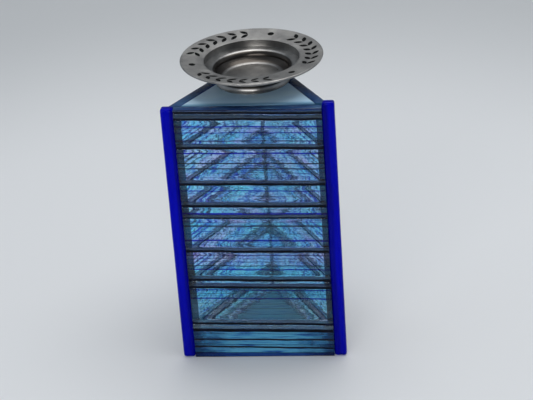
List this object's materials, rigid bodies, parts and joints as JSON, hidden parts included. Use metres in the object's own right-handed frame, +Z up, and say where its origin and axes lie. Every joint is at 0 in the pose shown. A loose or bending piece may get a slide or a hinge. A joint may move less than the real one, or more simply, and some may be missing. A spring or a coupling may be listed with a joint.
{
  "type": "candlestick",
  "caption": "Triangular glass candlestick: walls of stacked fused blue glass bands, cobalt corner bars, and a dished metal candle cup that lifts out of its top plate.",
  "frame": {"origin": "centre of the plan box, on the surface that the candlestick stands on; the cup's axis rises from it", "axes": "+Z up, along the cup's axis; -Y out of the wide front wall; +X to the right as seen from the front"},
  "size_m": [0.0714, 0.0604, 0.1291],
  "materials": {
    "glass_teal": "fused sheet glass, smooth face, lightly textured back",
    "glass_slate": "fused sheet glass, smooth face, lightly textured back",
    "glass_turquoise": "fused streaky glass with fine cobalt and teal lines, textured back",
    "glass_sky": "fused streaky glass with fine cobalt lines, textured back",
    "glass_lilac": "fused streaky glass with fine mauve and cobalt lines, textured back",
    "glass_cyan": "fused streaky glass with fine cobalt lines, textured back",
    "glass_cobalt": "fire-polished cobalt glass bar",
    "glass_slate_plate": "smooth slate-blue sheet glass",
    "dark_seam": "near-black bonding seam",
    "pewter": "satin flange, polished bowl and edges",
    "black_enamel": "matte blackening in the engraving"
  },
  "bodies": {
    "glass_body": {"front_band_01": "glass_teal", "front_band_02": "glass_teal", "front_band_03": "glass_teal", "front_band_04": "glass_slate", "front_band_05": "glass_turquoise", "front_band_06": "glass_sky", "front_band_07": "glass_lilac", "front_band_08": "glass_cyan", "front_band_09": "glass_sky", "front_band_10": "glass_cyan", "front_band_11": "glass_sky", "front_band_12": "glass_cyan", "front_band_13": "glass_slate", "front_band_14": "glass_slate", "front_seams": "dark_seam", "left_band_01": "glass_teal", "left_band_02": "glass_teal", "left_band_03": "glass_teal", "left_band_04": "glass_slate", "left_band_05": "glass_turquoise", "left_band_06": "glass_sky", "left_band_07": "glass_lilac", "left_band_08": "glass_cyan", "left_band_09": "glass_sky", "left_band_10": "glass_cyan", "left_band_11": "glass_sky", "left_band_12": "glass_cyan", "left_band_13": "glass_slate", "left_band_14": "glass_slate", "left_seams": "dark_seam", "right_band_01": "glass_teal", "right_band_02": "glass_teal", "right_band_03": "glass_teal", "right_band_04": "glass_slate", "right_band_05": "glass_turquoise", "right_band_06": "glass_sky", "right_band_07": "glass_lilac", "right_band_08": "glass_cyan", "right_band_09": "glass_sky", "right_band_10": "glass_cyan", "right_band_11": "glass_sky", "right_band_12": "glass_cyan", "right_band_13": "glass_slate", "right_band_14": "glass_slate", "right_seams": "dark_seam", "front_left_post": "glass_cobalt", "front_right_post": "glass_cobalt", "rear_post": "glass_cobalt", "top_plate": "glass_slate_plate", "base_plate": "glass_slate_plate"},
    "cup": {"candle_cup": "pewter", "rim_enamel": "black_enamel"}
  },
  "joints": [
    {"name": "cup_lift", "type": "slide", "parent": "glass_body", "child": "cup", "axis": [0, 0, 1], "range_m": [0, 0.03]}
  ]
}
